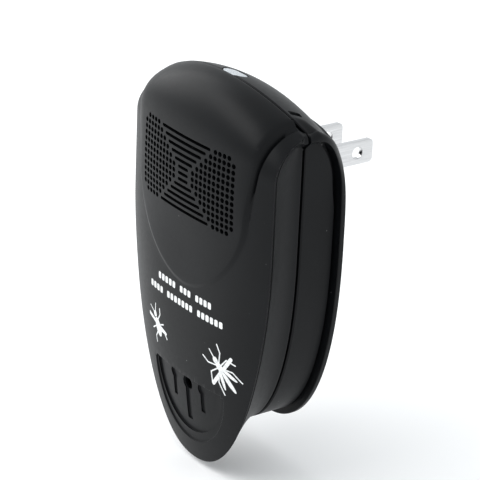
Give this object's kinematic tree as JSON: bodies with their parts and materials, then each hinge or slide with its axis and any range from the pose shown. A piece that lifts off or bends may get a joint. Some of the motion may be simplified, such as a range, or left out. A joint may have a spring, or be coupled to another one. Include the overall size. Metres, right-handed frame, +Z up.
{
  "type": "plug-in ultrasonic pest repeller",
  "caption": "Egg-shaped black plug-in sounder with a domed drilled grille, a keyhole panel, a top indicator lens and flat mains blades on its back.",
  "frame": {"origin": "on the plug face, midway between the two flat blades, where it meets the wall outlet", "axes": "+X to the right seen from the front, +Y out of the plug face into the outlet, +Z up"},
  "size_m": [0.06, 0.0544, 0.1052],
  "materials": {
    "casing": "satin black moulded plastic with a fine grain",
    "lens": "frosted clear",
    "blade_metal": "nickel-plated brass, brushed along its length",
    "screw_metal": "zinc-plated",
    "board": "green solder mask",
    "clamp": "brown laminate",
    "foam": "black foam",
    "sounder_plastic": "dark grey",
    "cone": "pressed paper",
    "brass": "lapped",
    "film_box": "yellow",
    "sleeve": "shrink sleeve",
    "ferrite": "sintered",
    "copper": "enamelled winding",
    "epoxy": "moulded black",
    "resistor_body": "lacquered",
    "fuse_body": "cement coated",
    "led": "tinted clear",
    "wire_light": "insulation",
    "wire_dark": "insulation",
    "wire_red": "insulation"
  },
  "bodies": {
    "root": {"front_cover": "casing", "rear_housing": "casing", "top_lens": "lens", "blade_left": "blade_metal", "blade_right": "blade_metal", "blade_clamp": "clamp", "clamp_screw_1": "screw_metal", "clamp_screw_2": "screw_metal", "case_screw_1": "screw_metal", "case_screw_2": "screw_metal", "board_screw_1": "screw_metal", "board_screw_2": "screw_metal", "board_screw_3": "screw_metal", "board_screw_4": "screw_metal", "sounder_gasket": "foam", "sounder_basket": "sounder_plastic", "sounder_cone": "cone", "piezo_disc": "brass", "circuit_board": "board", "film_capacitor": "film_box", "electrolytic_capacitor_1": "sleeve", "electrolytic_capacitor_2": "sleeve", "coil_core": "ferrite", "coil_winding": "copper", "diode_1": "epoxy", "diode_2": "epoxy", "diode_3": "epoxy", "diode_4": "epoxy", "driver_chip": "epoxy", "transistor": "epoxy", "resistor_1": "resistor_body", "resistor_2": "resistor_body", "resistor_3": "resistor_body", "fusible_resistor": "fuse_body", "indicator_led": "led", "mains_wire_left": "wire_light", "mains_wire_right": "wire_dark", "sounder_wire_left": "wire_dark", "sounder_wire_right": "wire_red"}
  },
  "joints": []
}
